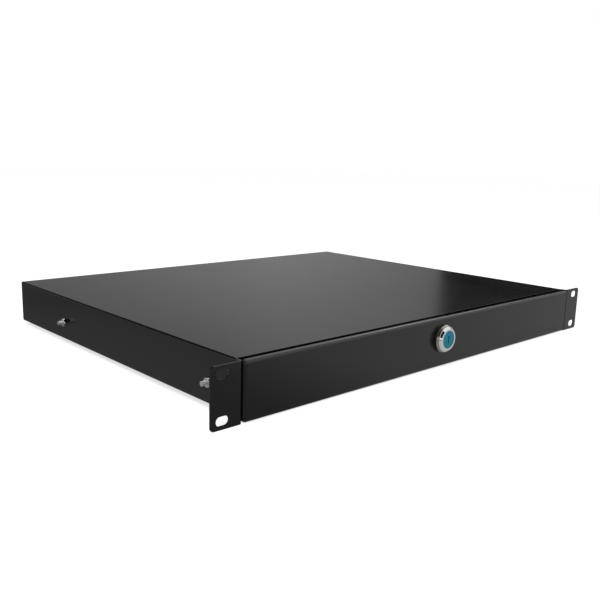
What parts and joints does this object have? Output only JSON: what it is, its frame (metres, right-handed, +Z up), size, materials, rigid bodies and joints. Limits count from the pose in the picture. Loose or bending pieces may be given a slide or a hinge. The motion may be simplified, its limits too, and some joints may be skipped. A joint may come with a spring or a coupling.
{
  "type": "sliding rack drawer",
  "caption": "Shallow lockable drawer in a folded sheet-steel case with slotted rack ears, running on ball-bearing telescopic slides.",
  "frame": {"origin": "middle of the four rack slots, on the rear (mounting) face of the ears", "axes": "+X to the right seen from the front, +Y into the rack, +Z up"},
  "size_m": [0.4826, 0.3647, 0.0436],
  "materials": {
    "black_case": "fine-texture black powder coat, satin",
    "black_tray": "fine-texture black powder coat, satin",
    "black_front": "fine-texture black powder coat, satin",
    "zinc_steel": "bright zinc plate",
    "bright_steel": "bright zinc plate",
    "retainer_steel": "zinc plate, pressed",
    "ball_steel": "polished",
    "bumper_plastic": "soft black plastic",
    "lock_chrome": "polished chrome on cast zinc",
    "lock_zinc": "zinc casting and plated steel",
    "lock_blue": "blue, semi-gloss",
    "wafer_brass": "stamped"
  },
  "bodies": {
    "case": {"case_shell": "black_case", "rear_panel": "black_case", "lock_strike": "black_case", "left_outer_rail": "zinc_steel", "right_outer_rail": "zinc_steel", "left_rear_bumper": "bumper_plastic", "right_rear_bumper": "bumper_plastic", "outer_rail_screws": "bright_steel", "outer_rail_nuts": "bright_steel"},
    "drawer": {"drawer_tray": "black_tray", "drawer_front": "black_front", "front_studs": "bright_steel", "front_nuts": "bright_steel", "left_inner_rail": "zinc_steel", "right_inner_rail": "zinc_steel", "inner_rail_screws": "bright_steel", "inner_rail_nuts": "bright_steel", "lock_housing": "lock_chrome", "lock_nut": "lock_zinc"},
    "left_retainer": {"left_ball_retainer": "retainer_steel", "left_balls": "ball_steel"},
    "right_retainer": {"right_ball_retainer": "retainer_steel", "right_balls": "ball_steel"},
    "lock_barrel": {"lock_plug": "lock_zinc", "lock_face": "lock_blue", "lock_wafers": "wafer_brass", "lock_cam": "lock_zinc", "cam_washer": "bright_steel", "cam_screw": "bright_steel"}
  },
  "joints": [
    {"name": "drawer_slide", "type": "slide", "parent": "case", "child": "drawer", "axis": [0, -1, 0], "range_m": [0, 0.25]},
    {"name": "left_retainer_slide", "type": "slide", "parent": "case", "child": "left_retainer", "axis": [0, -1, 0], "range_m": [0, 0.125]},
    {"name": "right_retainer_slide", "type": "slide", "parent": "case", "child": "right_retainer", "axis": [0, -1, 0], "range_m": [0, 0.125]},
    {"name": "lock_turn", "type": "hinge", "parent": "drawer", "child": "lock_barrel", "pos_m": [0, 0, 0.0034], "axis": [0, 1, 0], "range_deg": [0, 90]}
  ],
  "couplings": [
    {"joint": "left_retainer_slide", "follows": "drawer_slide", "ratio": 0.5},
    {"joint": "right_retainer_slide", "follows": "drawer_slide", "ratio": 0.5}
  ]
}
